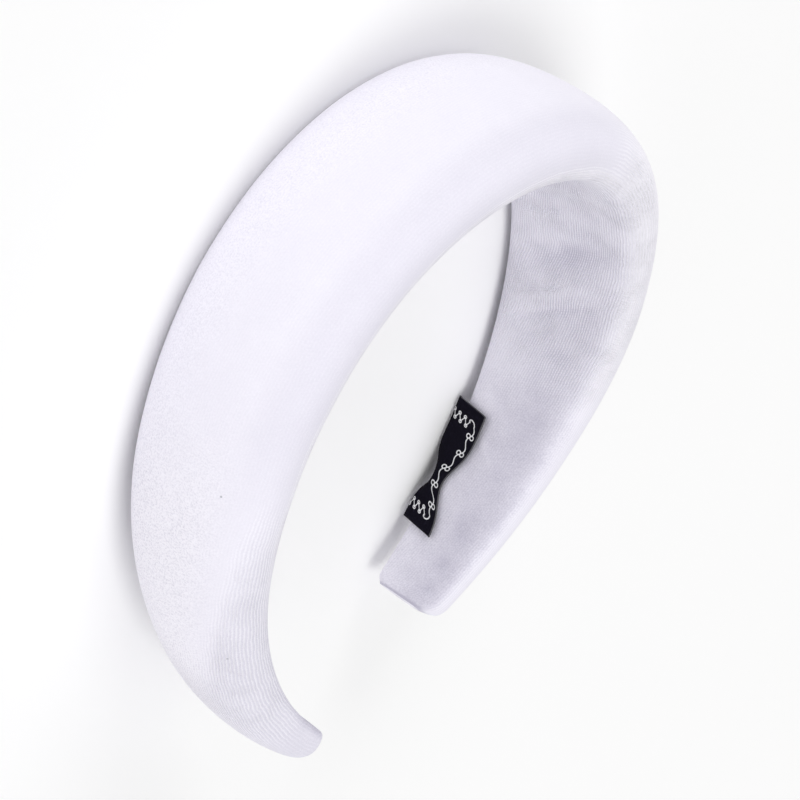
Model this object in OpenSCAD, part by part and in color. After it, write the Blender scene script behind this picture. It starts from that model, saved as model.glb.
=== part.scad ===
// A wide padded headband, lying on its side as it rests on a table.
// The crown is toward -Y, the two ends toward +Y, and +Z runs across the band's width.

/* [Arch] */
// Radius of the inner face over the crown, in millimetres
crown_r = 64; // [58:1:70]
// Angle from the middle of the crown to where each side begins, in degrees
crown_ang = 65; // [60:1:70]
// Radius of the inner face down each side
side_r = 89; // [77:1:100]
// Angle of each side's arc, in degrees
side_ang = 43; // [38:1:47]
// Radius of the inner face along each end
end_r = 108; // [94:1:126]
// Angle of each end's arc, in degrees
end_ang = 31; // [26:1:36]
// How far both ends lean out of the arch's plane, to the side that faces up
lean = 5.5; // [0:0.5:10]
// How far one end goes up and the other down, as an unworn band springs
skew = 8; // [0:0.5:10]

/* [Pad] */
// Width of the band at the crown
band_w = 47.5; // [40:0.5:54]
// Thickness of the padding at the crown
pad_t = 18; // [14:0.5:22]
// Height above the inner face where the band is widest, as a share of its thickness
widest_at = 0.45; // [0.38:0.01:0.52]
// Fullness of the outer dome: 1 is an ellipse, less is squarer
dome_power = 0.88; // [0.82:0.01:1]
// Radius of the rounder corner of each end, seen face on: the lower one toward +X, the upper one
// on the other side
tip_r = 4.5; // [3.5:0.5:6]
// Radius of the sharper corner of each end
corner_r = 2; // [1.5:0.5:3]
// Deepest pucker of the sleeve on the inner face
pucker_d = 1.3; // [0:0.1:1.6]
// How far each pucker runs toward the crown for each millimetre that it climbs across the band
pucker_slant = 0.7; // [0:0.1:0.9]

/* [Rest] */
// How far the soft lower edge gives under the band's own weight
settle = 0.6; // [0.3:0.1:1]

/* [Ribbon] */
// Length of the folded ribbon along the band
ribbon_l = 38; // [32:1:42]
// Width of the ribbon
ribbon_w = 10.5; // [9.5:0.5:12]
// Thickness of the folded ribbon
ribbon_t = 1; // [0.8:0.1:1.2]
// Place of the ribbon's middle, as a share of the half length from the crown
ribbon_place = 0.81; // [0.76:0.01:0.84]
// How much of the ribbon's width lies on the inner face where its ends spring open
end_cover = 9.3; // [8.9:0.1:9.5]
// How much of it lies there where it is stitched down and folded hardest
fold_cover = 4.9; // [4.4:0.1:6.4]
// Place of that fold along the ribbon: -1 and 1 are its ends
fold_place = 0.22; // [-0.3:0.02:0.3]
// Clear space between the ribbon and the sleeve
ribbon_gap = 0.35; // [0.3:0.05:0.6]

/* [Hidden] */

// Columns of the station table
AT = 0;
WIDE = 1;
THICK = 2;
FLAT = 3;
// One row for each station from the crown to an end: its place as a share of the half length,
// the width as a share of band_w, the thickness as a share of pad_t, and the flat inner face
// as a share of the width there
stations = [
    [0.00, 1.000, 1.00, 0.87],
    [0.25, 0.950, 1.05, 0.85],
    [0.50, 0.850, 1.09, 0.83],
    [0.75, 0.645, 0.90, 0.84],
    [1.00, 0.440, 0.57, 0.86]
];

// Columns of the pucker table
SPOT = 0;
DEPTH = 1;
REACH = 2;
// One row for each crosswise pucker: its place as a share of the half length, its depth as a
// share of pucker_d (less than 0 for a puff that stands up), and its reach along the band as a
// share of the half length
puckers = [
    [0.335, 0.45, 0.020],
    [0.415, 1.00, 0.032],
    [0.482, -0.45, 0.022],
    [0.540, 0.50, 0.024]
];

// Sections from the crown to each end, and points round one section
half_rows = 52;
dome_steps = 24;
edge_steps = 6;
face_steps = 12;
// Crowding of the sections toward the ends
crowding = 1.35;
ribbon_rows = 24;
ribbon_steps = 14;
// Reach of the fold along the ribbon, as a share of its half length, and the lift of its ends
// off the inner face
fold_reach = 0.42;
ribbon_lift = 0.5;
// Where the lower edge meets the table, as shares of the half length
rest_shares = [0.33, 0.06];
// Length over which the thickness closes at an end, and the share of it left at the end face
close_l = 3;
end_share = 0.35;

arcs = [[crown_r, crown_ang], [side_r, side_ang], [end_r, end_ang]];
arc_l = [for (a = arcs) a[0] * a[1] * PI / 180];
half_l = arc_l[0] + arc_l[1] + arc_l[2];

// Place and heading [x, y, angle] at a length s along the inner face from the crown
function walk(s, k = 0, x = 0, y = 0, h = 0) =
    let (r = arcs[k][0], step = k < 2 ? min(s, arc_l[k]) : s, g = h + step / r * 180 / PI,
         x2 = x + r * (sin(g) - sin(h)), y2 = y - r * (cos(g) - cos(h)))
    s <= arc_l[k] || k == 2 ? [x2, y2, g] : walk(s - arc_l[k], k + 1, x2, y2, g);

// Slope of one column of the station table at row i: level at the crown, smooth between
function rise(col, i) = (stations[i + 1][col] - stations[i][col]) / (stations[i + 1][AT] - stations[i][AT]);
function slope(col, i) =
    i == 0 ? 0 :
    i == len(stations) - 1 ? rise(col, i - 1) :
    let (a = rise(col, i - 1), b = rise(col, i)) a * b <= 0 ? 0 : 2 * a * b / (a + b);

// One column of the station table, eased between its rows
function row_of(f, i = 0) = i >= len(stations) - 2 || f < stations[i + 1][AT] ? i : row_of(f, i + 1);
function eased(col, f) =
    let (i = row_of(f), h = stations[i + 1][AT] - stations[i][AT], u = (f - stations[i][AT]) / h)
    (2 * pow(u, 3) - 3 * pow(u, 2) + 1) * stations[i][col]
    + (pow(u, 3) - 2 * pow(u, 2) + u) * h * slope(col, i)
    + (3 * pow(u, 2) - 2 * pow(u, 3)) * stations[i + 1][col]
    + (pow(u, 3) - pow(u, 2)) * h * slope(col, i + 1);

// Rounding of an end: how far a corner of radius r draws in at a distance e from the end face
function drawn_in(e, r) = e >= r ? 0 : r - sqrt(r * r - pow(r - e, 2));
function corner(side, edge) = side == edge ? corner_r : tip_r;
function closing(e) = e >= close_l ? 1 : end_share + (1 - end_share) * sqrt(1 - pow(1 - e / close_l, 2));

// Sizes of the section at a share f of the half length, to the upper edge (1) or the lower (-1)
function cut(side, edge, f) = drawn_in(half_l * (1 - f), corner(side, edge));
function half_wide(side, edge, f) = band_w / 2 * eased(WIDE, f) - cut(side, edge, f);
function half_flat(side, edge, f) = band_w / 2 * eased(WIDE, f) * eased(FLAT, f) - cut(side, edge, f);
function thick(f) = pad_t * eased(THICK, f) * closing(half_l * (1 - f));

// Depth of the puckers at a share f, fading toward the edges of the flat inner face: c runs from
// -1 at the lower edge to 1 at the upper one, and a is the place across in millimetres
function dent(f, c, a) = (1 - c * c) * pucker_d * [for (p = puckers)
    p[DEPTH] * exp(-pow((f + pucker_slant * a / half_l - p[SPOT]) / p[REACH], 2))] * [for (p = puckers) 1];

// Signed power, for the outer dome
function bow(v) = sign(v) * pow(abs(v), dome_power);

// Points [across, outward] of one section: dome, lower round edge, inner face, upper round edge
function section(side, f) =
    let (w = [half_wide(side, -1, f), half_wide(side, 1, f)], t = thick(f), n = widest_at * t,
         g = [half_flat(side, -1, f), half_flat(side, 1, f)], round = w[0] - g[0])
    concat(
        [for (i = [0 : dome_steps]) let (a = 180 * i / dome_steps)
            [w[a < 90 ? 1 : 0] * bow(cos(a)), n + (t - n) * bow(sin(a))]],
        [for (i = [1 : edge_steps]) let (a = 90 * i / edge_steps)
            [-g[0] - round * cos(a), n * (1 - sin(a))]],
        [for (i = [1 : face_steps - 1]) let (c = 2 * i / face_steps - 1, a = c * g[c < 0 ? 0 : 1])
            [a, dent(f, c, a)]],
        [for (i = [0 : edge_steps - 1]) let (a = 90 * i / edge_steps)
            [g[1] + round * sin(a), n * (1 - cos(a))]]);
ring = dome_steps + edge_steps + face_steps + edge_steps;

// A point [across, outward] of the section at share f on one side, before the band is laid down
function upright(side, f, p) =
    let (q = walk(f * half_l), shift = lean * pow(f, 3) + side * skew * f * f)
    [side * (q[0] + p[1] * sin(q[2])), q[1] - p[1] * cos(q[2]), p[0] + shift];

// Sections along the whole band, from one end over the crown to the other
function share_at(i) = 1 - pow(1 - abs(i) / half_rows, crowding);
band_loops = [for (i = [half_rows : -1 : -half_rows]) let (f = share_at(i), side = i < 0 ? -1 : 1)
    [for (p = section(side, f)) upright(side, f, p)]];

// Linear blend, and how tightly the ribbon is folded at t, from 0 where it springs open to 1
function mix(a, b, k) = a + (b - a) * k;
function tight(t) = exp(-pow((t - fold_place) / fold_reach, 2));

// Place and outward direction [across, outward] on the sleeve at share f, a length u from the
// ribbon's inner edge, going over the lower round edge
function wrapped(f, cover, u) =
    let (w = half_wide(-1, -1, f), g = half_flat(-1, -1, f), n = widest_at * thick(f),
         flat = cover - (w - g), bend = PI / 2 * sqrt(((w - g) * (w - g) + n * n) / 2),
         b = 90 * (u - flat) / bend)
    u <= flat ? [[cover - w - u, 0], [0, -1]] :
    b >= 90 ? [[-w, n + u - flat - bend], [-1, 0]] :
    [[-g - (w - g) * sin(b), n * (1 - cos(b))], unit([-n * sin(b), -(w - g) * cos(b)])];

// The same where the ribbon lies flat and runs straight past the edge
function sprung(f, cover, u) = [[cover - half_wide(-1, -1, f) - u, -ribbon_lift], [0, -1]];

// A point of the ribbon: t runs along it from -1 to 1, u across it, h is 0 below and 1 on top
function ribbon_point(t, u, h) =
    let (f = ribbon_place + t * ribbon_l / 2 / half_l, k = tight(t), cover = mix(end_cover, fold_cover, k),
         a = sprung(f, cover, u), b = wrapped(f, cover, u),
         p = mix(a[0], b[0], k), m = unit(mix(a[1], b[1], k)))
    upright(-1, f, p + m * (ribbon_gap + h * ribbon_t));
function unit(v) = v / norm(v);

ribbon_loops = [for (i = [0 : ribbon_rows]) let (t = 2 * i / ribbon_rows - 1) concat(
    [for (j = [0 : ribbon_steps]) ribbon_point(t, ribbon_w * j / ribbon_steps, 0)],
    [for (j = [ribbon_steps : -1 : 0]) ribbon_point(t, ribbon_w * j / ribbon_steps, 1)])];

// The band lies on two places of its lower edge, on the side with no ribbon, and on the ribbon
function low_edge(side, f) = upright(side, f, [-half_wide(side, -1, f), widest_at * thick(f)]);
function level(a, b, c) = unit(cross(a - b, c - b));
function lowest(up) = let (all = [for (r = ribbon_loops) for (p = r) p], z = [for (p = all) p * up])
    [for (i = [0 : len(all) - 1]) if (z[i] == min(z)) all[i]][0];
rest_a = low_edge(1, rest_shares[0]) + [0, 0, settle];
rest_b = low_edge(1, rest_shares[1]) + [0, 0, settle];
rest_c = lowest(level(rest_a, rest_b, low_edge(-1, ribbon_place)));
up = level(rest_a, rest_b, rest_c);
along = unit([1, 0, 0] - up * up[0]);

// A point in the frame of the table, and the lowest and highest value of one coordinate there
function tipped(p) = [p * along, p * cross(up, along), p * up];
function low(loops, k) = min([for (r = loops) min([for (p = r) tipped(p)[k]])]);
function high(loops, k) = max([for (r = loops) max([for (p = r) tipped(p)[k]])]);
middle_x = (low(band_loops, 0) + high(band_loops, 0)) / 2;
middle_y = (low(band_loops, 1) + high(band_loops, 1)) / 2;
table_z = min(rest_a * up, low(ribbon_loops, 2));

// Laid on the table, where the pad's soft edge presses flat
function laid(p) = tipped(p) - [middle_x, middle_y, table_z];
function pressed(p) = let (q = laid(p)) [q[0], q[1], max(q[2], 0)];

// Triangles of a tube over rows of points, open at both ends
function tube(rows, count) = [for (i = [0 : rows - 2]) for (j = [0 : count - 1])
    let (a = i * count + j, b = i * count + (j + 1) % count)
    each [[a, b, b + count], [a, b + count, a + count]]];

// Its end faces: whole ones for the pad, and for a thin strip rungs from its lower to its upper side
function whole_ends(rows, count) =
    [[for (j = [count - 1 : -1 : 0]) j], [for (j = [0 : count - 1]) (rows - 1) * count + j]];
function rungs(rows, count) = [for (j = [0 : count / 2 - 2]) let (k = count - 1 - j, e = (rows - 1) * count)
    each [[k, k - 1, j + 1], [k, j + 1, j], [e + j, e + j + 1, e + k - 1], [e + j, e + k - 1, e + k]]];

// Padded band: one soft pad in a seamless sleeve
module padded_band() {
    points = [for (r = band_loops) for (p = r) pressed(p)];
    rows = len(band_loops);
    color("white") polyhedron(points, concat(tube(rows, ring), whole_ends(rows, ring)));
}

// Ribbon: folded round the lower edge of one side, held by a stitch, its two ends sprung open
module ribbon() {
    points = [for (r = ribbon_loops) for (p = r) laid(p)];
    rows = len(ribbon_loops);
    count = len(ribbon_loops[0]);
    color("black") polyhedron(points, concat(tube(rows, count), rungs(rows, count)));
}

padded_band();
ribbon();
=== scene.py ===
# %% [markdown]
# # A padded headband in white ribbed velvet
#
# The real thing is a springy strip wrapped in wadding, with one sleeve of white ribbed velvet drawn
# over it, and a small black woven ribbon folded over the edge of one side.
# The solids are already made, and this script loads them as a fixed frame.
# Its work is the looks: a fine sleeve and a thin ribbon, both measured from the frame, their
# materials, the light and the camera. All lengths are in metres.

# %% Load the imported part
import math
from types import SimpleNamespace

import bpy
import numpy as np
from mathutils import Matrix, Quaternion, Vector
from mathutils.bvhtree import BVHTree


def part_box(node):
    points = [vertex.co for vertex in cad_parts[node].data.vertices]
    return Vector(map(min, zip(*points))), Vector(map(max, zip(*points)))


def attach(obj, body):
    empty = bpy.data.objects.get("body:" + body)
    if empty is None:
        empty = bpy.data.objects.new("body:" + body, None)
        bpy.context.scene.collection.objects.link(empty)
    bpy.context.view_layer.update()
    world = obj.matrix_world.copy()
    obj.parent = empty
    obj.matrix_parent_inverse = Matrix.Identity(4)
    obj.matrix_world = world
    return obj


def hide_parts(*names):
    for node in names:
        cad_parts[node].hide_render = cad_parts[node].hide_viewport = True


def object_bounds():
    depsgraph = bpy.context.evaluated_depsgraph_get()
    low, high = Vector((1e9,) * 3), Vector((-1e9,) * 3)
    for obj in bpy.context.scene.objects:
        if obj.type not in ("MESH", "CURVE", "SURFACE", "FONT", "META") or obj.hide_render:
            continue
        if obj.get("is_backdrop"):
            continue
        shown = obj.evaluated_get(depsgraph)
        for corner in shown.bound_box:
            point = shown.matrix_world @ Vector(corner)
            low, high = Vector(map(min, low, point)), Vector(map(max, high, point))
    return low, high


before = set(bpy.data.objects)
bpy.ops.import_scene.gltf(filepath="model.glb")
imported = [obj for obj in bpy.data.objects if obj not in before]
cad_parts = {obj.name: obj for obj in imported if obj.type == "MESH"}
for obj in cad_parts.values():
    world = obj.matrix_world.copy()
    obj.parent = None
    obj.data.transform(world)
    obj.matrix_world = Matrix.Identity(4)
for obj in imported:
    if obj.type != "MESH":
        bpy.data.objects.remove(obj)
CAD_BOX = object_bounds()
MM = 0.001
scene = bpy.context.scene
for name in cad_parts:
    low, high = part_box(name)
    print(name, "is", [round(side / MM, 1) for side in high - low], "mm")

# %% [markdown]
# ## The camera
#
# The camera comes first, because everything is judged through it. The photograph holds the band up
# on a slant, but a headband left to itself lies on its side. So the band lies, and the camera takes
# the same view of it: its roll turns the picture until the band stands in it as in the photograph.
# A long lens keeps the perspective as mild as the photograph's.

# %% Camera at the photograph's angle
PHOTO_SIDE = 800
FOCAL_PIXELS = 2333
SENSOR = 36
AZIMUTH, ELEVATION, ROLL = (math.radians(angle) for angle in (54.99, 27.09, 119.71))
AIM = Vector((2.0, 0.1, 21.1)) * MM
AWAY = 580 * MM

back = Vector((
    math.sin(AZIMUTH) * math.cos(ELEVATION),
    -math.cos(AZIMUTH) * math.cos(ELEVATION),
    math.sin(ELEVATION),
))
camera = bpy.data.objects.new("camera", bpy.data.cameras.new("camera"))
scene.collection.objects.link(camera)
scene.camera = camera
camera.data.sensor_width = SENSOR
camera.data.lens = SENSOR * FOCAL_PIXELS / PHOTO_SIDE
camera.location = AIM + back * AWAY
camera.rotation_mode = "QUATERNION"
camera.rotation_quaternion = (-back).to_track_quat("-Z", "Y") @ Quaternion((0, 0, 1), ROLL)
print("lens", round(camera.data.lens, 1), "mm, camera at", [round(x, 3) for x in camera.location])

# %% [markdown]
# ## Measuring the arch
#
# A sleeve needs to know where along the band and where around it each point lies: the cords of the
# velvet run along it, and puckers run across it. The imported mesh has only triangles, so the script
# asks it with rays. First comes the arch's axis: the inner face is a bent strip, so all its normals
# lie in one plane, and the direction that they all avoid is the axis.

# %% The arch's axis
HUB = Vector((0, 0, 0))
MOST_SLOPE = 0.12
FACING = 0.85


def skin_of(node):
    """The skin of a CAD node, ready for rays."""
    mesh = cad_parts[node].data
    return BVHTree.FromPolygons([v.co for v in mesh.vertices], [p.vertices for p in mesh.polygons])


def axis_of(node):
    """The direction that the normals of the inner face avoid."""
    inner = []
    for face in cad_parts[node].data.polygons:
        to_hub = HUB - face.center
        to_hub.z = 0
        if abs(face.normal.z) < MOST_SLOPE and face.normal.dot(to_hub.normalized()) > FACING:
            inner.append(face.normal * face.area)
    axis = Vector(np.linalg.svd(np.array(inner))[2][-1])
    return axis if axis.z > 0 else -axis


BAND_SKIN = skin_of("padded_band")
AXIS = axis_of("padded_band")
EAST = (Vector((1, 0, 0)) - AXIS * AXIS.x).normalized()
NORTH = AXIS.cross(EAST)
print("the arch's axis leans", round(math.degrees(AXIS.angle(Vector((0, 0, 1)))), 2), "degrees")

# %% [markdown]
# Rays that fan out from the hub, at many heights, find the inner face. The nearest hit at each angle
# is the line of the inner face, and the middle of the heights that hit is the middle of the band.
# A smooth curve through them has no facets, and its slope gives the heading at every point.

# %% The line of the inner face
FAN_STEP = math.radians(1.5)
FAN_INSET = 1e-4
FIRST_STEP, LAST_STEP = math.radians(16), 1e-5
HEIGHT_STEP = 1.0 * MM
TOP = CAD_BOX[1].z
SMOOTHNESS = 14


def outward(angle):
    """Direction from the hub at an angle from the crown: positive toward the near side."""
    return EAST * math.sin(angle) - NORTH * math.cos(angle)


def distance(skin, start, direction):
    """Distance along a ray to a skin, or None."""
    return skin.ray_cast(start, direction)[3]


def fan_hits(angle):
    """Pairs [distance, height] of the inner face at one angle."""
    found = []
    for height in np.arange(-TOP / 2, TOP * 3 / 2, HEIGHT_STEP):
        reach = distance(BAND_SKIN, HUB + AXIS * height, outward(angle))
        if reach is not None:
            found.append((reach, height))
    return found


def middle_height(found):
    """Half way between the lowest and the highest of a fan's hits."""
    heights = [height for _, height in found]
    return (min(heights) + max(heights)) / 2


def last_angle(sign):
    """The angle of an end of the band, by halving the step each time the fan misses it."""
    angle, step = 0.0, FIRST_STEP
    while step > LAST_STEP:
        if fan_hits(sign * (angle + step)):
            angle += step
        else:
            step /= 2
    return angle


ENDS = [-last_angle(-1), last_angle(1)]
fan = np.linspace(ENDS[0] + FAN_INSET, ENDS[1] - FAN_INSET, int((ENDS[1] - ENDS[0]) / FAN_STEP))
hits = [fan_hits(angle) for angle in fan]
reach_curve = np.polynomial.Polynomial.fit(fan, [min(found)[0] for found in hits], SMOOTHNESS)
middle_curve = np.polynomial.Polynomial.fit(fan, [middle_height(found) for found in hits], SMOOTHNESS)
print("the ends are at", [round(math.degrees(a), 1) for a in ENDS], "degrees from the crown")

# %% [markdown]
# Stations along that line are placed by length, as on a tape measure, so that the cloth is spaced as
# the real cloth is. They crowd toward the ends, where the shape changes fastest.

# %% Stations along the band
HALF_ROWS = 60
CROWDING = 1.25
END_INSET = 0.06 * MM
SMALL_TURN = 1e-4
TAPE_POINTS = 4001


def inner_point(angle):
    """Point of the inner face's line, at the height of the arch's plane through the hub."""
    return HUB + outward(angle) * float(reach_curve(angle))


def heading(angle):
    """Direction along the inner face, from the far end toward the near end."""
    return (inner_point(angle + SMALL_TURN) - inner_point(angle - SMALL_TURN)).normalized()


fine_fan = np.linspace(ENDS[0], ENDS[1], TAPE_POINTS)
fine_points = np.array([inner_point(angle) for angle in fine_fan])
fine_length = np.concatenate([[0], np.cumsum(np.linalg.norm(np.diff(fine_points, axis=0), axis=1))])
fine_length -= np.interp(0, fine_fan, fine_length)
HALF_LENGTHS = (-fine_length[0] - END_INSET, fine_length[-1] - END_INSET)


def length_of(share):
    """Signed length from the crown at a signed share of the half length."""
    return share * HALF_LENGTHS[1 if share > 0 else 0]


def angle_of(share):
    return float(np.interp(length_of(share), fine_length, fine_fan))


steps = np.arange(-HALF_ROWS, HALF_ROWS + 1) / HALF_ROWS
SHARES = np.sign(steps) * (1 - (1 - np.abs(steps)) ** CROWDING)
print("half lengths", [round(length / MM, 1) for length in HALF_LENGTHS], "mm")

# %% [markdown]
# At each station, rays in the plane across the band go out from the middle of the padding and find
# the skin all round. The lowest and highest rays mark the two edges. Each half between them is then
# divided evenly by length, so the columns of the sleeve run along the band like its cords.

# %% Sections of the pad
CORE_SHARE = 0.45
CORE_TRIES = 3
RAYS = 720
HALF_COLUMNS = 28
HOLLOW_START = 12 * MM
SKIN_STEP = 0.01 * MM


def core_of(share):
    """The middle of the padding at a share of the half length, and the outward direction there."""
    angle = angle_of(share)
    out = heading(angle).cross(AXIS)
    out = out if out.dot(outward(angle)) > 0 else -out
    height = float(middle_curve(angle))
    for _ in range(CORE_TRIES):
        start = inner_point(angle) + AXIS * height - out * HOLLOW_START
        inner = distance(BAND_SKIN, start, out) + SKIN_STEP
        thickness = distance(BAND_SKIN, start + out * inner, out)
        core = start + out * (inner + thickness * CORE_SHARE)
        height += (distance(BAND_SKIN, core, AXIS) - distance(BAND_SKIN, core, -AXIS)) / 2
    return core, out


def ray_direction(out, turn):
    """Direction in a section: 0 is the lower edge, a quarter the inner face, a half the upper edge."""
    return -AXIS * math.cos(turn * math.tau) - out * math.sin(turn * math.tau)


def spaced(points, count):
    """The given points of a line, moved to be evenly spaced along it, without the last."""
    run = np.concatenate([[0], np.cumsum(np.linalg.norm(np.diff(points, axis=0), axis=1))])
    at = np.linspace(0, run[-1], count + 1)[:-1]
    return np.stack([np.interp(at, run, points[:, k]) for k in range(3)], axis=1)


def section(share):
    """One ring of the sleeve, from the lower edge over the inner face, the upper edge and the dome."""
    core, out = core_of(share)
    ring = []
    for k in range(RAYS + 1):
        direction = ray_direction(out, k / RAYS)
        ring.append(core + direction * distance(BAND_SKIN, core, direction))
    ring, half = np.array(ring), RAYS // 2
    return np.concatenate([spaced(ring[: half + 1], HALF_COLUMNS), spaced(ring[half:], HALF_COLUMNS)])


skin_grid = np.array([section(share) for share in SHARES])
print("measured", skin_grid.shape[0], "sections of", skin_grid.shape[1], "points")

# %% [markdown]
# ## From a coarse grid to cloth
#
# A cubic B-spline passes close to the measured points and bends evenly between them, so the sleeve
# gets finer without showing the facets of the solid under it.

# %% A finer grid
FINER = 4


def spline_weights(t):
    """Weights of four neighbouring points of a cubic B-spline."""
    return (
        (1 - t) ** 3 / 6,
        (3 * t**3 - 6 * t**2 + 4) / 6,
        (-3 * t**3 + 3 * t**2 + 3 * t + 1) / 6,
        t**3 / 6,
    )


def refine(grid, closed):
    """FINER times as many rows. A closed grid goes round, an open one keeps its first and last row."""
    count = len(grid)
    if closed:
        padded = np.concatenate([grid[-1:], grid, grid[:2]])
    else:
        padded = np.concatenate([2 * grid[:1] - grid[1:2], grid, 2 * grid[-1:] - grid[-2:-1]])
    rows = []
    for i in range(count if closed else count - 1):
        for step in range(FINER):
            four = zip(spline_weights(step / FINER), padded[i : i + 4], strict=True)
            rows.append(sum(weight * row for weight, row in four))
    if not closed:
        rows.append(grid[-1])
    return np.array(rows)


def refine_both(grid):
    along = refine(grid, closed=False)
    return refine(along.transpose(1, 0, 2), closed=True).transpose(1, 0, 2)


FINE_SHARES = refine(SHARES[:, None], closed=False)[:, 0]

# %% [markdown]
# Each end of the grid is closed by a small domed cap. The cloth map gives every point its place on
# the flat cloth, in metres, so that one cord of the velvet is as wide anywhere.

# %% Make a closed tube of cloth
# Rings of a cap, as shares of the last ring, and how far the cap stands out in its middle
CAP_RINGS = (0.82, 0.6, 0.36, 0.14)
CAP_BULGE = 0.35 * MM


def cap(ring, beyond):
    """Rings that close an end, a little domed."""
    centre = ring.mean(axis=0)
    return [centre + (ring - centre) * k + beyond * CAP_BULGE * (1 - k * k) for k in CAP_RINGS]


def cloth_mesh(name, points, faces, corners):
    """A smooth piece from points and faces, with the cloth map's u and v at each face corner."""
    mesh = bpy.data.meshes.new(name)
    mesh.from_pydata(points.reshape(-1, 3).tolist(), [], faces)
    mesh.uv_layers.new(name="cloth").data.foreach_set("uv", np.array(corners, np.float32).ravel())
    mesh.polygons.foreach_set("use_smooth", [True] * len(mesh.polygons))
    mesh.update()
    piece = bpy.data.objects.new(name, mesh)
    scene.collection.objects.link(piece)
    return piece


def tube(name, grid, u_of_row):
    """A closed mesh over a grid of rings. On its cloth map, in metres, u runs along the band and v
    round it from the upper edge: more than 0 over the dome, less than 0 over the inner face."""
    ahead = Vector(grid[-1].mean(axis=0) - grid[-2].mean(axis=0)).normalized()
    behind = Vector(grid[0].mean(axis=0) - grid[1].mean(axis=0)).normalized()
    caps = [cap(grid[0], np.array(behind))[::-1], cap(grid[-1], np.array(ahead))]
    rings = np.array([*caps[0], *grid, *caps[1]])
    rows, columns = rings.shape[:2]
    extra = len(CAP_RINGS)
    u = np.array([u_of_row[0]] * extra + list(u_of_row) + [u_of_row[-1]] * extra)
    closed = np.concatenate([rings, rings[:, :1]], axis=1)
    steps_round = np.linalg.norm(np.diff(closed, axis=1), axis=2)
    run = np.concatenate([np.zeros((rows, 1)), np.cumsum(steps_round, axis=1)], axis=1)
    run[:extra] = run[extra]
    run[-extra:] = run[-extra - 1]
    v = run - run[:, columns // 2, None]
    faces, corners = [], []
    for i in range(rows - 1):
        for j in range(columns):
            k = (j + 1) % columns
            faces.append((i * columns + j, i * columns + k, (i + 1) * columns + k, (i + 1) * columns + j))
            corners += [(u[i], v[i, j]), (u[i], v[i, j + 1])]
            corners += [(u[i + 1], v[i + 1, j + 1]), (u[i + 1], v[i + 1, j])]
    for i, order in ((0, -1), (rows - 1, 1)):
        faces.append(tuple(i * columns + j for j in range(columns))[::order])
        corners += [(u[i], v[i, j]) for j in range(columns)][::order]
    return cloth_mesh(name, rings, faces, corners)


# %% [markdown]
# ## Wadding that fills the sleeve
#
# The solid's inner face is flat, but real wadding pushes the cloth out between the edges. A short
# cloth simulation does the same: the sleeve starts as measured, soft pins hold it near its place,
# the cloth next to the ribbon is held fast, and air pressure stands for the wadding. No point may
# move more than a little, and none may go under the floor.

# %% Puff the sleeve up
FRAMES = 20
CLOTH = {
    "quality": 8,
    "mass": 0.1,
    "tension_stiffness": 20,
    "compression_stiffness": 20,
    "shear_stiffness": 5,
    "bending_stiffness": 0.5,
    "use_pressure": True,
    "uniform_pressure_force": 320,
    "vertex_group_mass": "pins",
}
PIN_HOLD = 0.3
HELD_REACH = 4 * MM
MOST_MOVE = 1.2 * MM
TINY = 1e-9
RIBBON_SKIN = skin_of("ribbon")


def puffed(grid):
    """The grid after a short cloth simulation under pressure."""
    trial = tube("trial_sleeve", grid, [length_of(share) for share in SHARES])
    start = np.array([v.co for v in trial.data.vertices])
    pins = trial.vertex_groups.new(name=CLOTH["vertex_group_mass"])
    for i, spot in enumerate(start):
        held = RIBBON_SKIN.find_nearest(spot, HELD_REACH)[0] is not None
        pins.add([i], 1 if held else PIN_HOLD, "REPLACE")
    cloth = trial.modifiers.new("cloth", "CLOTH")
    for setting, value in CLOTH.items():
        setattr(cloth.settings, setting, value)
    cloth.settings.effector_weights.gravity = 0
    scene.frame_start, scene.frame_end = 1, FRAMES
    cloth.point_cache.frame_end = FRAMES
    for frame_number in range(1, FRAMES + 1):
        scene.frame_set(frame_number)
    seen = trial.evaluated_get(bpy.context.evaluated_depsgraph_get())
    move = np.array([v.co for v in seen.data.vertices]) - start
    scene.frame_set(1)
    bpy.data.objects.remove(trial)
    size = np.linalg.norm(move, axis=1)
    print("moved", (np.percentile(size, [5, 50, 95, 100]) / MM).round(2), "mm")
    move *= np.minimum(1, MOST_MOVE / np.maximum(size, TINY))[:, None]
    filled = grid + move.reshape(-1, grid.shape[1], 3)[len(CAP_RINGS) : -len(CAP_RINGS)]
    filled[:, :, 2] = np.maximum(filled[:, :, 2], 0)
    return filled


# %% [markdown]
# ## Puckers
#
# On the inside of the bend the sleeve has more cloth than it needs, and the spare length gathers
# into a few crosswise puckers, with low puffs between them. Each is a soft hill or dent, longer
# across the band than along it. The far side's are measured on the photograph, and the near side,
# which it hides, gets the same ones.
#
# Painted shade goes with them: each dent is painted darker, and each puff painted lighter as a painted
# highlight. The middle of the inner face gets painted shade, more of it low on the arms, and so does
# a narrow band round each end. Those tones go into a mesh attribute that the material reads.

# %% Press the puckers into the inner face
AT, ACROSS, DEPTH, LONG, WIDE, SLANT = range(6)
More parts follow.
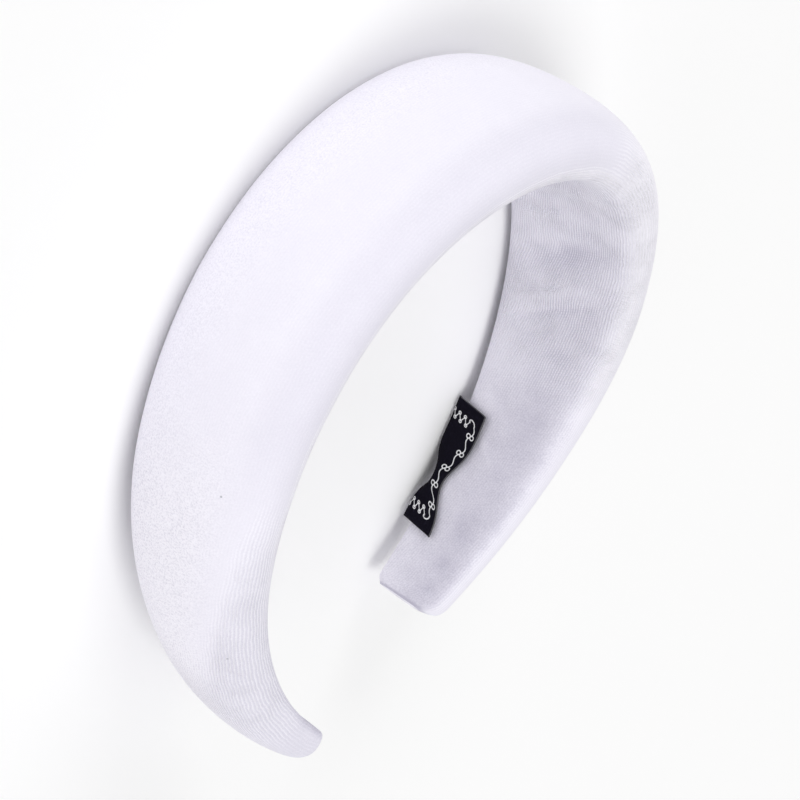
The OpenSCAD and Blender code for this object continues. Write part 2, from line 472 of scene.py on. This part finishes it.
# One row for each dent: its share of the half length, its place across the band, its depth (less
# than 0 for a puff), its reach along and across the band in millimetres, and how far it runs askew
PUCKERS = (
    (0.284, 3.0, -0.55, 2.0, 9.0, -0.45),
    (0.308, -6.0, 0.6, 1.7, 6.0, -0.55),
    (0.349, -5.0, -0.45, 1.7, 7.0, -0.55),
    (0.386, 6.0, 0.25, 2.6, 7.0, -0.6),
    (0.428, -1.0, 1.1, 4.6, 12.0, -0.62),
    (0.490, -3.0, -0.8, 1.9, 7.5, -0.65),
    (0.510, 11.0, 0.4, 15.0, 5.0, 0.0),
    (0.526, -0.5, 0.7, 1.9, 10.0, -0.65),
    (0.556, -4.0, 0.2, 1.8, 5.0, -0.6),
    (0.590, 6.0, 0.35, 3.2, 3.5, -0.3),
    (0.680, 6.0, 0.3, 4.0, 3.5, 0.2),
    (0.700, -6.0, 0.45, 2.4, 4.5, 0.5),
    (0.775, -2.5, -0.35, 1.6, 4.5, 0.8),
    (0.868, 3.5, 0.35, 4.0, 3.0, 0.2),
    (0.925, 4.0, 0.45, 2.4, 2.4, 0.0),
    (0.962, -3.5, 0.3, 2.0, 2.2, 0.0),
    (0.966, 4.5, 0.5, 1.8, 2.2, 0.0),
)


def pucker_depths(along, across):
    """Depth of all dents at lengths along and across the inner face, in metres."""
    depth = np.zeros_like(along)
    for side, half in zip((-1, 1), HALF_LENGTHS, strict=True):
        for row in PUCKERS:
            x = side * along - row[AT] * half - across * row[SLANT]
            y = across - row[ACROSS] * MM
            spread = (x / (row[LONG] * MM)) ** 2 + (y / (row[WIDE] * MM)) ** 2
            depth += row[DEPTH] * MM * np.exp(-spread)
    return depth


# The flat of the inner face, as shares of its depth below the core
FACE_FROM, FACE_OVER = 0.55, 0.35
# How strong the painted shade is: in the dents, with a painted highlight on each puff instead; along the
# middle of the inner face; and in a narrow band round each end
DENT_SHADE, FACE_SHADE = 0.4, 0.48
FACE_SHADE_AT, FACE_SHADE_WIDE, FACE_SHADE_LEAST = 5.5 * MM, 10 * MM, 0.45
LOW_FROM, LOW_TO = 0.5, 0.66
END_SHADE, END_SHADE_WIDE = 0.9, 0.6 * MM


def pressed_in(grid, shares):
    """The grid with its inner face pressed in at the puckers, and the painted shade at each point."""
    frames = [core_of(share) for share in shares]
    cores = np.array([core for core, _ in frames])[:, None]
    outs = np.array([out for _, out in frames])[:, None]
    across = (grid - cores) @ np.array(AXIS)
    below = ((cores - grid) * outs).sum(axis=2)
    deepest = below.max(axis=1, keepdims=True)
    on_face = np.clip((below / deepest - FACE_FROM) / FACE_OVER, 0, 1)
    along = np.array([length_of(share) for share in shares])[:, None] + 0 * across
    depths = pucker_depths(along, across) * on_face
    # Painted shade along the middle of the inner face: less of it up to half way along each arm, full low
    # on the arms
    low = np.clip((np.abs(shares) - LOW_FROM) / (LOW_TO - LOW_FROM), FACE_SHADE_LEAST, 1)[:, None]
    face_shade = low * on_face * np.exp(-(((across - FACE_SHADE_AT) / FACE_SHADE_WIDE) ** 2))
    # Painted shade in a narrow band round each end
    to_end = (1 - np.abs(shares)) * min(HALF_LENGTHS)
    end_shade = np.exp(-((to_end / END_SHADE_WIDE) ** 2))[:, None]
    # All of it is painted shade, and painted highlight where a puff makes the depth less than 0
    dark = DENT_SHADE * depths / MM + FACE_SHADE * face_shade + END_SHADE * end_shade
    return grid + outs * depths[:, :, None], dark


fine_grid, painted_shade_grid = pressed_in(refine_both(puffed(skin_grid)), FINE_SHARES)
print("fine grid", fine_grid.shape, "pile from", painted_shade_grid.min().round(2), "to", painted_shade_grid.max().round(2))

# %% Make the sleeve
sleeve = tube("velvet_sleeve", fine_grid, [length_of(share) for share in FINE_SHARES])
on_caps = np.zeros((len(CAP_RINGS), fine_grid.shape[1]))
painted_shade_values = np.concatenate([on_caps, painted_shade_grid, on_caps]).astype(np.float32).ravel()
# The painted shade goes to the material as a mesh attribute, 0 on the caps
sleeve.data.attributes.new("painted_shade", "FLOAT", "POINT").data.foreach_set("value", painted_shade_values)
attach(sleeve, "root")
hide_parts("padded_band")
print("sleeve:", len(sleeve.data.polygons), "faces")

# %% [markdown]
# ## Writing materials as sums
#
# A material is a small program. Written out node by node it is long and hard to follow, so this
# class lets a socket take part in ordinary Python arithmetic: each operator adds the Math node that
# it stands for, and a sum reads as the pattern that it makes.


# %% Sockets that take part in arithmetic
def socket(sockets, key):
    """A socket by its place, its identifier or its name."""
    if isinstance(key, int):
        return sockets[key]
    same = [s for s in sockets if s.identifier == key] or [s for s in sockets if s.name == key]
    return same[0]


class Wire:
    """An output socket of a material. Arithmetic on wires adds Math nodes."""

    def __init__(self, output):
        self.output = output

    def node(self, kind, settings, values, out=0):
        """Adds a node to the same material: first its settings, then its sockets' values or wires."""
        return add_node(self.output.id_data, kind, settings, values, out)

    def math(self, operation, *values):
        return self.node("ShaderNodeMath", {"operation": operation}, dict(enumerate(values)))

    def __add__(self, other):
        return self.math("ADD", self, other)

    def __radd__(self, other):
        return self.math("ADD", other, self)

    def __sub__(self, other):
        return self.math("SUBTRACT", self, other)

    def __rsub__(self, other):
        return self.math("SUBTRACT", other, self)

    def __mul__(self, other):
        return self.math("MULTIPLY", self, other)

    def __rmul__(self, other):
        return self.math("MULTIPLY", other, self)

    def __truediv__(self, other):
        return self.math("DIVIDE", self, other)

    def __abs__(self):
        return self.math("ABSOLUTE", self)


def add_node(tree, kind, settings, values, out=0):
    """Adds a node and returns the wire from one of its outputs."""
    made = tree.nodes.new(kind)
    for name, value in settings.items():
        setattr(made, name, value)
    for key, value in values.items():
        target = socket(made.inputs, key)
        if isinstance(value, Wire):
            tree.links.new(value.output, target)
        else:
            target.default_value = value
    return Wire(socket(made.outputs, out))


# %% [markdown]
# A few patterns come back in each finish: a smooth step from 0 to 1, a wave, soft noise, a blend of
# two colours. Each is a function of wires.

# %% Patterns that the finishes share
def wave(turns):
    """A wave from 0 to 1, once for each whole turn."""
    angle = turns * math.tau
    return angle.math("COSINE", angle) * 0.5 + 0.5


def step_up(value, start, end):
    """0 below start, 1 above end, smooth between."""
    return value.node(
        "ShaderNodeMapRange",
        {"interpolation_type": "SMOOTHSTEP"},
        {"Value": value, "From Min": start, "From Max": end, "To Min": 0.0, "To Max": 1.0},
    )


def larger(first, second):
    return first.math("MAXIMUM", first, second)


def smaller(first, second):
    return first.math("MINIMUM", first, second)


def at_least(least, mask):
    """A mask whose 0 is lifted to the given value."""
    return least + (1 - least) * mask


def hypotenuse(a, b):
    squares = a * a + b * b
    return squares.math("SQRT", squares)


def noise(place, size, detail=2.0, roughness=0.5):
    """Soft noise around 0.5, with lumps of a given size in metres."""
    return place.node(
        "ShaderNodeTexNoise",
        {},
        {"Vector": place, "Scale": 1 / size, "Detail": detail, "Roughness": roughness},
    )


def blend(share, first, second):
    """The first colour where share is 0, the second where it is 1."""
    values = {"Factor_Float": share, "A_Color": first, "B_Color": second}
    return share.node("ShaderNodeMix", {"data_type": "RGBA"}, values, "Result_Color")


def bump(height, deep):
    """A normal from a height of 0 to 1, whose 1 stands for a real depth in metres."""
    return height.node("ShaderNodeBump", {}, {"Height": height, "Distance": deep, "Strength": 1.0})


def new_material(name):
    """A material with its surface shader, and the wires u and v of the cloth map and its place."""
    material = bpy.data.materials.new(name)
    material.use_nodes = True
    tree = material.node_tree
    surface = tree.nodes["Principled BSDF"]
    cloth = add_node(tree, "ShaderNodeUVMap", {"uv_map": "cloth"}, {})
    u = cloth.node("ShaderNodeSeparateXYZ", {}, {0: cloth}, "X")
    v = cloth.node("ShaderNodeSeparateXYZ", {}, {0: cloth}, "Y")
    place = add_node(tree, "ShaderNodeTexCoord", {}, {}, "Object")
    return material, surface, u, v, place


def finish(surface, varying, constant):
    """Links what varies over the surface, and sets what doesn't on the shader's own sockets."""
    for name, wire in varying.items():
        surface.id_data.links.new(wire.output, surface.inputs[name])
    for name, value in constant.items():
        surface.inputs[name].default_value = value


# %% [markdown]
# ## Ribbed velvet
#
# The velvet is a knit with fine cords along the band, about three quarters of a millimetre apart,
# under a pile that scatters the light. The cords show on the inner face, round the far side's edge
# and near the near side's tip, and almost vanish where the dome stretches the cloth. So the cloth
# map is first divided into zones: masks that are 1 inside a zone, 0 outside it, and in between on
# its soft border.

# %% Zones of the sleeve
# Where the border of each zone starts and ends, as v in metres
INSIDE = (-6 * MM, -2 * MM)
RIM = (-11 * MM, -4 * MM)
OVER_EDGE = (1 * MM, 6 * MM)
LOW_DOME = (26 * MM, 40 * MM)
EDGE_STRIP = (8 * MM, 17 * MM)
SPECKLED_DOME = (8 * MM, 22 * MM)
CORDS_DOME = (4 * MM, 14 * MM)
SHADED_TIP_DOME = (-2 * MM, 18 * MM)
# The same as shares of the half length: 0 at the crown, 1 at the near tip, -1 at the far tip
FAR = (-0.24, -0.12)
LOW_ARM = (0.54, 0.70)
STRIP_FROM = (-0.25, -0.05)
STRIP_TO = (0.4, 0.56)
SPECKLED_SIDE = (0.4, 0.58)
NEAR_TIP = (0.46, 0.62)
SHADED_TIP = (0.42, 0.7)
TIP_END = (0.82, 0.94)
# How much nearer to the tip a zone begins on the dome than at the edge
CORDS_LAG = 0.2
SHADED_TIP_LAG = 0.26


def zones(u, v):
    """The masks of all zones, by name."""
    side = u / min(HALF_LENGTHS)
    inside = 1 - step_up(v, *INSIDE)
    far = larger(1 - step_up(side, *FAR), inside)
    low_arm = step_up(abs(side), *LOW_ARM)
    strip = step_up(side, *STRIP_FROM) * (1 - step_up(side, *STRIP_TO))
    return SimpleNamespace(
        inside=inside,
        far=far,
        low_arm=low_arm,
        # The far side's rim, which gets painted light
        painted_light_rim=far * step_up(v, *RIM) * (1 - low_arm),
        over_edge=step_up(v, *OVER_EDGE),
        low_dome=step_up(v, *LOW_DOME),
        # The upper edge strip, which gets painted shade
        edge_strip=strip * (1 - step_up(v, *EDGE_STRIP)) * (1 - inside),
        speckled=step_up(v, *SPECKLED_DOME) * step_up(side, *SPECKLED_SIDE),
        near_tip=step_up(side - CORDS_LAG * step_up(v, *CORDS_DOME), *NEAR_TIP),
        # Where the near tip gets painted shade
        shaded_tip=step_up(side - SHADED_TIP_LAG * step_up(v, *SHADED_TIP_DOME), *SHADED_TIP),
        tip_end=step_up(side, *TIP_END),
    )


# %% [markdown]
# The cords are a wave of the map's v, bent a little by noise. Each is a row of loops, a wave of u,
# that sits half a loop off the next row. Round the edge the cloth is stretched, so a few cords fewer
# fit in there than elsewhere.

# %% Cords and their loops
CORD, LOOP = 0.78 * MM, 0.8 * MM
EDGE_REACH, CORDS_FEWER = 8 * MM, 3.0
# The size of the lumps of noise that bend the cords, and by how many cords they shift them
BENDS = ((8 * MM, 1.3), (2.5 * MM, 0.6))
LOOP_BEND = 3 * MM
BREAK_SIZE, BREAK_BORDER = 1.6 * MM, (0.35, 0.6)
LEAST_LOOP, LEAST_BREAK = 0.35, 0.68
# How clearly the cords show in each zone
EDGE_HIDES, LOW_ARM_HIDES = 0.6, 0.85
TIP_SHOWS, TIP_END_HIDES = 0.75, 0.68
DOME_SHOWS = 0.03
PATCH_SIZE, PATCH_BORDER, LEAST_PATCH = 11 * MM, (0.38, 0.62), 0.7
# The cords show less where the painted shade is dark
PAINTED_SHADE_HIDES = 1.2


def cord_height(u, v, place):
    """Height of the cords, from 0 between them to 1 on a loop."""
    cords = v / CORD - step_up(v, -EDGE_REACH, EDGE_REACH) * CORDS_FEWER
    for size, shift in BENDS:
        cords = cords + (noise(place, size) - 0.5) * shift
    row = cords.math("FLOOR", cords + 0.5)
    cord = wave(cords)
    loop = wave(u / LOOP + row * 0.5 + noise(place, LOOP_BEND))
    whole = step_up(noise(place, BREAK_SIZE), *BREAK_BORDER)
    return cord * cord * at_least(LEAST_LOOP, loop) * at_least(LEAST_BREAK, whole)


def cords_shown(zone, painted_shade, place):
    """How clearly the cords show: less on the dome, low on the arms and where the painted shade is dark.
    """
    on_far = zone.far * (1 - EDGE_HIDES * zone.over_edge) * (1 - LOW_ARM_HIDES * zone.low_arm)
    on_tip = zone.near_tip * (TIP_SHOWS - TIP_END_HIDES * zone.tip_end)
    patches = step_up(noise(place, PATCH_SIZE), *PATCH_BORDER)
    shown = larger(larger(on_far, on_tip), DOME_SHOWS)
    return shown * at_least(LEAST_PATCH, patches) * (PAINTED_SHADE_HIDES - painted_shade)


# %% [markdown]
# The tone is one number, 0 for white and 1 for the darkest tone. Everything that darkens the cloth
# adds to it: painted shade between the cords, on the near tip, its end and the upper edge strip, the
# painted shade of the puckers, of the middle of the inner face and of the ends, soft clouds and the
# fuzz of single fibres. Painted highlights lighten the loops of the cords, the puffs and the far side's
# rim, and a brighter white is painted on as light on the rim and the speckled part of the dome. Two
# specks of lint lie on top.

# %% Velvet
# The cloth's own white, a brighter white painted on as light, and the darkest tone, which painted shade
# and the darker grain both blend toward
WHITE = (0.92, 0.9, 0.985, 1)
PAINTED_LIGHT_WHITE = (0.95, 0.93, 1.0, 1)
SHADE_AND_GRAIN_DARKEST = (0.56, 0.54, 0.645, 1)
FLAT_DARK = 0.12
# How strong the painted shade between the cords and the painted highlight on their loops are, and how much
# less of it the rim gets
CORD_CONTRAST, CORD_LEVEL, RIM_LIGHTER_CORDS = 2.3, 0.15, 0.05
# How strong the painted shade is on the near tip, its end and the upper edge strip, and the painted light
# on the far side's rim
TIP_SHADE, TIP_END_SHADE, STRIP_SHADE, RIM_PAINTED_LIGHT = 0.17, 0.12, 0.2, 0.12
CLOUD_SIZE, CLOUD_DARK, CLOUD_DARK_INSIDE = 7 * MM, 0.1, 0.35
FUZZ_SIZE, FUZZ_ROUGHNESS, FINE_DETAIL = 0.46 * MM, 0.7, 3
FUZZ_DARK, FUZZ_LOW_DOME, FUZZ_SPECKLED, FUZZ_LOW_ARM, FUZZ_TIP = 0.3, 0.9, 2.3, 1.0, 0.4
VELVET_DEEP, FUZZ_DEEP, FUZZ_DEEP_SPECKLED = 0.28 * MM, 0.2, 0.25
# Each speck's u and v in millimetres
LINT_SPOTS = ((97.1, 14.3), (137.3, 6.6))
LINT_SIZE, LINT_SHOWS = 0.33 * MM, 0.85
LINT = (0.45, 0.45, 0.5, 1)


def speck(u, v, u_spot, v_spot):
    """1 on a round speck at a spot of the cloth map, 0 off it."""
    away = hypotenuse(u - u_spot * MM, v - v_spot * MM)
    return 1 - step_up(away, LINT_SIZE / 2, LINT_SIZE)


def velvet():
    material, surface, u, v, place = new_material("white_velvet")
    # The painted shade and painted highlights of the puckers, the inner face and the ends
    painted_shade = add_node(material.node_tree, "ShaderNodeAttribute", {"attribute_name": "painted_shade"}, {}, "Fac")
    zone = zones(u, v)
    height = cord_height(u, v, place)
    shown = cords_shown(zone, painted_shade, place)
    # Painted shade between the cords and painted highlight on their loops, beside the real bump
    cord_shade = (CORD_LEVEL - zone.painted_light_rim * RIM_LIGHTER_CORDS - height) * shown * CORD_CONTRAST
    # Painted shade on the near tip, its end and the upper edge strip
    tip_and_strip_shade = zone.shaded_tip * TIP_SHADE + zone.tip_end * TIP_END_SHADE + zone.edge_strip * STRIP_SHADE
    clouds = noise(place, CLOUD_SIZE, FINE_DETAIL) - 0.5
    clouds = clouds * (CLOUD_DARK + CLOUD_DARK_INSIDE * zone.inside)
    fuzz = noise(place, FUZZ_SIZE, FINE_DETAIL, FUZZ_ROUGHNESS)
    grain = FUZZ_DARK + FUZZ_LOW_DOME * zone.low_dome + FUZZ_SPECKLED * zone.speckled
    grain = grain + FUZZ_LOW_ARM * zone.inside * zone.low_arm + FUZZ_TIP * zone.near_tip
    # All tones summed: painted shade, less of it on the rim as painted light, and the cloth's own clouds
    # and fuzz
    dark = FLAT_DARK + cord_shade + tip_and_strip_shade + painted_shade + clouds + (fuzz - 0.5) * grain - zone.painted_light_rim * RIM_PAINTED_LIGHT
    # A brighter white on the speckled part of the dome and on the rim: painted light
    white = blend(larger(zone.speckled, zone.painted_light_rim), WHITE, PAINTED_LIGHT_WHITE)
    lint = larger(*[speck(u, v, *spot) for spot in LINT_SPOTS]) * LINT_SHOWS
    fuzz_deep = FUZZ_DEEP + FUZZ_DEEP_SPECKLED * zone.speckled
    finish(
        surface,
        {
            "Base Color": blend(lint, blend(dark, white, SHADE_AND_GRAIN_DARKEST), LINT),
            "Normal": bump(height * shown + fuzz * fuzz_deep, VELVET_DEEP),
        },
        {"Roughness": 0.9, "Sheen Weight": 0.25, "Sheen Roughness": 0.4, "Specular IOR Level": 0.2},
    )
    return material


sleeve.data.materials.append(velvet())

# %% [markdown]
# ## The ribbon
#
# The ribbon is a short length of black woven tape, folded over the edge of the band and held down
# near its middle, so that its two ends spring open like a bow. It is cloth, so it is one sheet. The
# same rays that measured the pad pass through its solid and give the middle of its thickness.

# %% Measure the ribbon
RIBBON_ROWS = 32
RIBBON_COLUMNS = 12
TURN_STEP, TURN_REACH = 0.0005, 0.3
EDGE_INSET = 0.15 * MM
RIBBON_THICK = 0.4 * MM
# How far the two long edges are shifted against each other, as the fold lies a little askew
SHEAR = 1.3 * MM


def length_at(spot):
    """Signed length along the band of the section that a point lies in."""
    flat = np.array([EAST, NORTH])
    nearest = np.linalg.norm((fine_points - np.array(spot)) @ flat.T, axis=1).argmin()
    return fine_length[nearest]


def ribbon_row(length):
    """Points across the ribbon at a length along the band, in the middle of its thickness."""
    core, out = core_of(length / HALF_LENGTHS[1 if length > 0 else 0])
    row = []
    for turn in np.arange(TURN_REACH, -TURN_REACH, -TURN_STEP):
        direction = ray_direction(out, turn)
        near = distance(RIBBON_SKIN, core, direction)
        if near is not None:
            through = distance(RIBBON_SKIN, core + direction * (near + SKIN_STEP), direction) or 0
            row.append(core + direction * (near + through / 2))
    row = np.array(row)
    return np.concatenate([spaced(row, RIBBON_COLUMNS), row[-1:]])


ribbon_lengths = [length_at(v.co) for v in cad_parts["ribbon"].data.vertices]
RIBBON_FROM, RIBBON_TO = min(ribbon_lengths) + EDGE_INSET, max(ribbon_lengths) - EDGE_INSET
ribbon_grid = np.array([ribbon_row(s) for s in np.linspace(RIBBON_TO, RIBBON_FROM, RIBBON_ROWS + 1)])
RIBBON_LENGTH = RIBBON_TO - RIBBON_FROM
toward_tip = ribbon_grid[-1].mean(axis=0) - ribbon_grid[0].mean(axis=0)
toward_tip /= np.linalg.norm(toward_tip)
lag = np.linspace(SHEAR / 2, -SHEAR / 2, ribbon_grid.shape[1])
ribbon_grid += lag[None, :, None] * toward_tip
ribbon_grid[:, :, 2] = np.maximum(ribbon_grid[:, :, 2], RIBBON_THICK / 2)
widths = np.linalg.norm(np.diff(ribbon_grid, axis=1), axis=2).sum(axis=1)
RIBBON_WIDTH = widths.mean()
print("ribbon", round(RIBBON_LENGTH / MM, 1), "by", round(RIBBON_WIDTH / MM, 1), "mm, widths",
      (widths[[0, RIBBON_ROWS // 2, -1]] / MM).round(2))

# %% [markdown]
# The sheet has no thickness of its own. A modifier gives it one, half to each side of the middle.

# %% Make the ribbon's mesh
def sheet_mesh(name, grid, length, width):
    """An open sheet over a grid. On its cloth map, in metres, u runs along it and v across it."""
    rows, columns = grid.shape[:2]
    u = np.linspace(0, length, rows)
    v = np.linspace(0, width, columns)
    faces, corners = [], []
    for i in range(rows - 1):
        for j in range(columns - 1):
            a, b = i * columns + j, (i + 1) * columns + j
            faces.append((a, b, b + 1, a + 1))
            corners += [(u[i], v[j]), (u[i + 1], v[j]), (u[i + 1], v[j + 1]), (u[i], v[j + 1])]
    return cloth_mesh(name, grid, faces, corners)


ribbon_along = refine(ribbon_grid, closed=False).transpose(1, 0, 2)
fine_ribbon = refine(ribbon_along, closed=False).transpose(1, 0, 2)
ribbon = sheet_mesh("folded_ribbon", fine_ribbon, RIBBON_LENGTH, RIBBON_WIDTH)
thicken = ribbon.modifiers.new("thickness", "SOLIDIFY")
thicken.thickness = RIBBON_THICK
thicken.offset = 0
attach(ribbon, "root")
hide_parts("ribbon")

# %% [markdown]
# ## Woven ribbon
#
# The tape is a fine black weave with a border in white thread. Each line is the distance to a simple
# curve, so the whole pattern is a few sums on u and v. The main line is a frame with round corners,
# wider than the sheet: one of its long sides runs along the inner edge and sways like a vine, with a
# pair of rings at each knot, and the other would be under the fold. Across each end runs a scroll, a
# zigzag with a ring at every turn. The middle stays plain.

# %% Lines of thread
THREAD = 0.32 * MM
# Where a line's soft edge starts and ends, as shares of its width
THREAD_EDGE = (0.3, 0.7)
DESIGN_HALF = 8.0 * MM
SIDE_INSET, FRAME_INSET, CORNER = 2.5 * MM, 3.4 * MM, 1.5 * MM
SIDE_BORDER, CORNER_BORDER = 0.3 * MM, 0.5 * MM
KNOT_STEP, KNOT_RING, SWAY = 5.6 * MM, 0.6 * MM, 0.6 * MM
SCROLL_STEP, SCROLL_RING, SCROLL_LONG, SCROLL_INSET = 2.1 * MM, 0.42 * MM, 1.9 * MM, 0.5 * MM
SCROLL_THREAD = THREAD * 0.8
ZIGZAG_SLOPE = 2 * SCROLL_LONG / SCROLL_STEP
# A slanted line is this much nearer than u alone says
ZIGZAG_NEARER = 0.5


def to_nearest(value, step):
    """Distance to the nearest whole multiple of a step."""
    return value.math("PINGPONG", value, step / 2)


def line_on(away, width):
    """1 on a line of a given width, 0 off it, from the distance to the line's middle."""
    start, end = THREAD_EDGE
    return 1 - step_up(abs(away), width * start, width * end)


def ring_on(a, b, radius, width):
    """1 on a ring, 0 off it, from the two distances to its centre."""
    return line_on(hypotenuse(a, b) - radius, width)


def vine_and_knots(from_middle, past_x, past_y, on_corner):
    """The frame's long side and corners, and the rings along it."""
    corner = hypotenuse(larger(past_x, 0), larger(past_y, 0))
    from_frame = corner + smaller(larger(past_x, past_y), 0) - CORNER
    on_side = 1 - step_up(past_x, -SIDE_BORDER, SIDE_BORDER)
    turns = from_middle * (math.tau / KNOT_STEP)
    sway = turns.math("SINE", turns) * SWAY * on_side
    vine = line_on(from_frame + sway, THREAD) * on_corner
    to_knot = to_nearest(from_middle, KNOT_STEP)
    rings = [ring_on(to_knot, from_frame + shift, KNOT_RING, THREAD) for shift in (-KNOT_RING, KNOT_RING)]
    return larger(vine, larger(*rings) * on_side)


def scroll(from_end, v):
    """A zigzag across an end, with a ring at every turn."""
    outer = to_nearest(v, SCROLL_STEP)
    inner = to_nearest(v + SCROLL_STEP / 2, SCROLL_STEP)
    zigzag = line_on((from_end + outer * ZIGZAG_SLOPE) * ZIGZAG_NEARER, SCROLL_THREAD)
    outer_ring = ring_on(outer, from_end, SCROLL_RING, SCROLL_THREAD)
    inner_ring = ring_on(inner, from_end + SCROLL_LONG, SCROLL_RING, SCROLL_THREAD)
    return larger(zigzag, larger(outer_ring, inner_ring))


# %% Ribbon finish
BLACK = (0.006, 0.005, 0.011, 1)
THREAD_WHITE = (0.95, 0.95, 0.96, 1)
# A thin lighter line along one long edge and across both ends
LIGHT_EDGE, LIGHT_EDGE_START, LIGHT_EDGE_TONE = 0.2 * MM, 0.4, 0.12
WARP, WEFT = 0.24 * MM, 0.36 * MM
LEAST_THREAD = 0.85
WEAVE_DEEP, WEAVE_BUMP, THREAD_BUMP = 0.05 * MM, 0.6, 0.7


def woven_ribbon():
    material, surface, u, v, _ = new_material("black_woven_ribbon")
    from_middle = u - RIBBON_LENGTH / 2
    x = abs(from_middle)
    past_x = x - (RIBBON_LENGTH / 2 - FRAME_INSET - CORNER)
    past_y = abs(v - DESIGN_HALF) - (DESIGN_HALF - SIDE_INSET - CORNER)
    on_corner = step_up(past_y, -CORNER_BORDER, 0.0)
    border = vine_and_knots(from_middle, past_x, past_y, on_corner)
    scrolls = scroll(past_x - CORNER + SCROLL_INSET, v) * (1 - on_corner)
    light_edge = 1 - step_up(smaller(v, RIBBON_LENGTH / 2 - x), LIGHT_EDGE * LIGHT_EDGE_START, LIGHT_EDGE)
    white = larger(larger(border, scrolls), light_edge * LIGHT_EDGE_TONE)
    warp, weft = wave(v / WARP), wave(u / WEFT)
    finish(
        surface,
        {
            "Base Color": blend(white * at_least(LEAST_THREAD, weft), BLACK, THREAD_WHITE),
            "Normal": bump(warp * weft * WEAVE_BUMP + white * THREAD_BUMP, WEAVE_DEEP),
        },
        {"Roughness": 0.7, "Specular IOR Level": 0.06},
    )
    return material


ribbon.data.materials.append(woven_ribbon())

# %% [markdown]
# ## Floor and light
#
# The photograph shows the band alone on white, lit from all round, so the scene has a plain pale
# floor, a pale world and four large soft lamps: a low one on the crown, a high one into the arch, a
# weak one from above and a weak low one from the near side. The inside of the arch shades itself.

# %% Floor, world and lamps
FLOOR_SIDE = 6.0
FLOOR_COLOUR = (0.99, 0.99, 0.99, 1)
WORLD_LIGHT = 0.5
# Name, azimuth and elevation in degrees, strength, and how wide an angle the lamp's disc spans
LAMPS = (
    ("over_the_crown", 0, 12, 1.1, 35),
    ("into_the_arch", 135, 64, 1.0, 35),
    ("overhead", 0, 90, 0.34, 60),
    ("low_side", 90, 8, 0.33, 35),
)


def make_floor():
    mesh = bpy.data.meshes.new("floor")
    corners = [(-1, -1, 0), (1, -1, 0), (1, 1, 0), (-1, 1, 0)]
    mesh.from_pydata([Vector(c) * FLOOR_SIDE / 2 for c in corners], [], [(0, 1, 2, 3)])
    floor = bpy.data.objects.new("floor", mesh)
    scene.collection.objects.link(floor)
    material = bpy.data.materials.new("floor")
    material.use_nodes = True
    finish(material.node_tree.nodes["Principled BSDF"], {}, {"Base Color": FLOOR_COLOUR, "Roughness": 0.9})
    mesh.materials.append(material)
    floor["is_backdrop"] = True


def soft_sun(name, azimuth, elevation, strength, spread):
    """Even light from far away, as soft as a wide lamp: its disc spans the given angle."""
    a, e = math.radians(azimuth), math.radians(elevation)
    toward = Vector((math.sin(a) * math.cos(e), -math.cos(a) * math.cos(e), math.sin(e)))
    light = bpy.data.lights.new(name, "SUN")
    light.energy = strength
    light.angle = math.radians(spread)
    holder = bpy.data.objects.new(name, light)
    holder.location = AIM + toward
    holder.rotation_mode = "QUATERNION"
    holder.rotation_quaternion = (-toward).to_track_quat("-Z", "Y")
    scene.collection.objects.link(holder)


make_floor()
world = bpy.data.worlds.new("studio")
scene.world = world
world.use_nodes = True
finish(world.node_tree.nodes["Background"], {}, {"Color": (1, 1, 1, 1), "Strength": WORLD_LIGHT})
for lamp in LAMPS:
    soft_sun(*lamp)
scene.view_settings.view_transform = "Standard"
print("lit by", [name for name, *_ in LAMPS])

# %% [markdown]
# ## Sizes
#
# Last, the box of the whole cloth is written beside the box of the solids, to compare the two.

# %% Write the sizes and finish
VISUAL_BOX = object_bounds()
for name, box in (("CAD", CAD_BOX), ("visual", VISUAL_BOX)):
    print(name, [[round(x / MM, 2) for x in corner] for corner in box])
